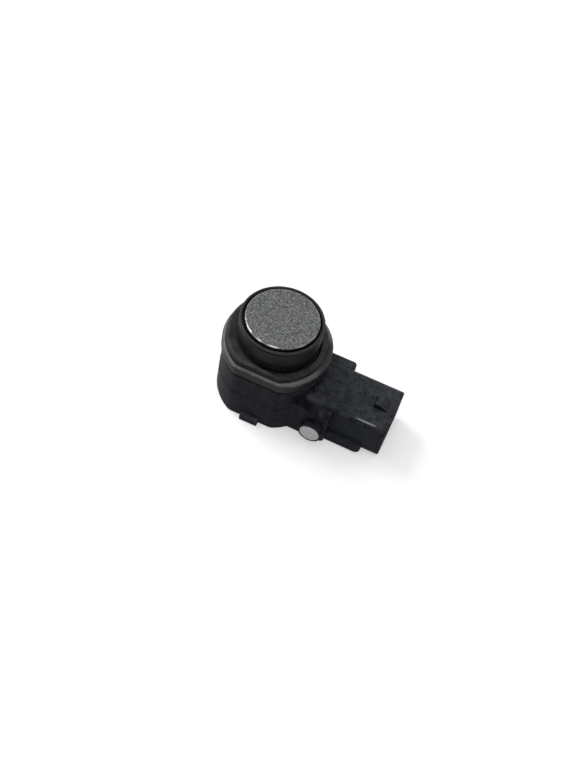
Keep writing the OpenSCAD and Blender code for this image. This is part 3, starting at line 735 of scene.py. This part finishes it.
# Transducer stack: the piezo disc is bonded to the back of the membrane, a felt pad damps it,
# silicone is poured in behind, and two enamelled leads run down to the board.
piezo = inner_finish("piezo_ceramic", (0.52, 0.47, 0.34), (0.66, 0.61, 0.46), 4500.0, (0.5, 0.7))
felt = inner_finish("felt", (0.19, 0.16, 0.125), (0.3, 0.25, 0.2), 2600.0, (0.85, 0.98))
silicone = inner_finish("silicone", (0.5, 0.5, 0.46), (0.6, 0.6, 0.55), 2400.0, (0.35, 0.5))
dress(piezo, "piezo_disc")
dress(felt, "damping_pad")
dress(silicone, "cup_fill")
dress(copper, "lead_1", "lead_2")

# Front ring: a separate soft ring pushed over the disc's edge, black silicone with a satin skin.
# It has a rounded bead round an open gap on top, a fine groove and a tall straight land below.
ring_r, ring_in, ring_top = reach_of("front_ring", "X"), face_r + slip, reach_of("front_ring", "Z")
bead_h, bead_in, bead_edge, gap_depth = 0.5, 8.3, 0.35, 1
groove_r, groove_h, groove_edge, land_r, land_edge = 8.2, 0.4, 0.1, 8.85, 0.22
ring_dark, ring_light = (0.0038, 0.004, 0.0047), (0.0078, 0.0081, 0.0088)
ring_edge_sheen, ring_dust = (0.031, 0.0315, 0.037), (0.06, 0.057, 0.053)
ring_rubber, tree, shader = finish("ring_rubber", Specular_IOR_Level=0.1)
grain = placed(tree, moulded_grain, Scale=4800.0)
dust_and_light = placed(tree, dust_and_top_light, Patch=500.0, Start=0.55)
wear_and_glint = placed(tree, worn_and_lit_edges, Break=300.0)
tone = tones(tree, grain["Tone"], ring_dark, ring_light)
# The rounded edges get a painted sheen, lighter than the rubber
colour = layered(tree, tone, (wear_and_glint["Edge"], ring_edge_sheen), (dust_and_light["Mask"], ring_dust))
rough = ranged(tree, grain["Tone"], 0.36, 0.52)
skin(tree, shader, colour, rough, grain["Height"], strength=0.25, depth=0.03)
groove_top, gap_low = ring_top - bead_h, ring_top - gap_depth
land_top = groove_top - groove_h
bead = turned([
    (ring_in, land_low), (land_r, land_low), (land_r, land_top), (groove_r, land_top),
    (groove_r, groove_top), (ring_r, groove_top), (ring_r, ring_top), (bead_in, ring_top),
    (bead_in, gap_low), (ring_in, gap_low)])
round_edges(bead, ring_at(bead, ring_r, ring_top), bead_edge, 5)
round_edges(bead, ring_at(bead, bead_in, ring_top) + ring_at(bead, land_r, land_low), land_edge, 4)
round_edges(bead, ring_at(bead, ring_r, groove_top) + ring_at(bead, land_r, land_top), groove_edge, 2)
soft_ring = make_piece("soft_ring", [bead], ring_rubber)
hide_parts("front_ring")

# Table, lamps and camera: a flat white table under a soft window on the left, a little behind, and a small
# lamp in front. The table and the room are lifted to white only for what the camera, reflections and
# transmission see, so the table keeps its shadow and throws little light back.
table_half, table_gap, table_glow = 1500, 0.02, 0.39
paper_dark, paper_light, paper_dim = (0.73, 0.73, 0.735), (0.76, 0.76, 0.765), (0.475, 0.475, 0.48)
dome_low, dome_high = 0.12, 0.85


def seen_rays(tree):
    """1 for rays of the camera, of reflections and of transmission, 0 for light that bounces."""
    path = add(tree, "ShaderNodeLightPath").outputs
    seen = path["Is Camera Ray"]
    for other in ("Is Glossy Ray", "Is Transmission Ray"):
        seen = add(tree, "ShaderNodeMath", {0: seen, 1: path[other]}, operation="MAXIMUM").outputs[0]
    return seen


white, tree, shader = finish("white_table", Roughness=0.9, Specular_IOR_Level=0.1)
seen = seen_rays(tree)
paper = tones(tree, noise(tree, 6.0, 2.0), paper_dark, paper_light, 0, 1)
tree.links.new(layered(tree, paper, (remainder(tree, seen), paper_dim)), shader.inputs["Base Color"])
glow = add(tree, "ShaderNodeEmission", {"Color": (1, 1, 1, 1), "Strength": product(tree, seen, table_glow)})
both = add(tree, "ShaderNodeAddShader", {0: shader.outputs["BSDF"], 1: glow.outputs["Emission"]})
tree.links.new(both.outputs["Shader"], tree.nodes["Material Output"].inputs["Surface"])
sheet = bmesh.new()
bmesh.ops.create_grid(sheet, x_segments=8, y_segments=8, size=table_half * mm)
bmesh.ops.translate(sheet, vec=(0, 0, -table_gap * mm), verts=sheet.verts[:])
table_mesh = bpy.data.meshes.new("table")
sheet.to_mesh(table_mesh)
sheet.free()
table_mesh.materials.append(white)
table = into_scene("table", table_mesh)

room = bpy.data.worlds.new("room")
bpy.context.scene.world = room
room.use_nodes = True
tree = room.node_tree
sky = add(tree, "ShaderNodeTexCoord").outputs["Generated"]
sky_z = add(tree, "ShaderNodeSeparateXYZ", {"Vector": sky}).outputs["Z"]
dome = ranged(tree, sky_z, dome_low, dome_high)
background = tree.nodes["Background"]
background.inputs["Color"].default_value = (1, 1, 1, 1)
tree.links.new(ranged(tree, seen_rays(tree), dome, 1.0), background.inputs["Strength"])

for name, toward, far, size, power in (
        ("left_window", (-0.70, 0.20, 0.69), 900, 400, 4.4),
        ("front_lamp", (-0.042, -0.817, 0.591), 900, 80, 1.0)):
    lamp = bpy.data.lights.new(name, "AREA")
    lamp.size = size * mm
    lamp.energy = power
    aim = Vector(toward).normalized()
    turn = aim.to_track_quat("Z", "Y").to_matrix().to_4x4()
    into_scene(name, lamp).matrix_world = Matrix.Translation(aim * far * mm) @ turn

# The view was fitted to the photo; face_right and face_up are the face's place in the picture,
# in mm from the picture's middle at the face's distance
azimuth, elevation, roll, distance = radians(12.4), radians(54.28), radians(-13.71), 220
face_right, face_up = -1.013, 13.396
back = Vector((sin(azimuth) * cos(elevation), -cos(azimuth) * cos(elevation), sin(elevation)))
flat = Vector((cos(azimuth), sin(azimuth), 0))
steep = back.cross(flat)
right = cos(roll) * flat - sin(roll) * steep
upward = sin(roll) * flat + cos(roll) * steep
lens = bpy.data.cameras.new("camera")
lens.sensor_width = 36
lens.lens = 50.69
lens.clip_start = 0.01
camera = into_scene("camera", lens)
spot = Vector((0, 0, face_z)) - face_right * right - face_up * upward + distance * back
camera.matrix_world = Matrix.Translation(spot * mm) @ Matrix((right, upward, back)).transposed().to_4x4()
bpy.context.scene.camera = camera
bpy.context.scene.view_settings.view_transform = "Standard"
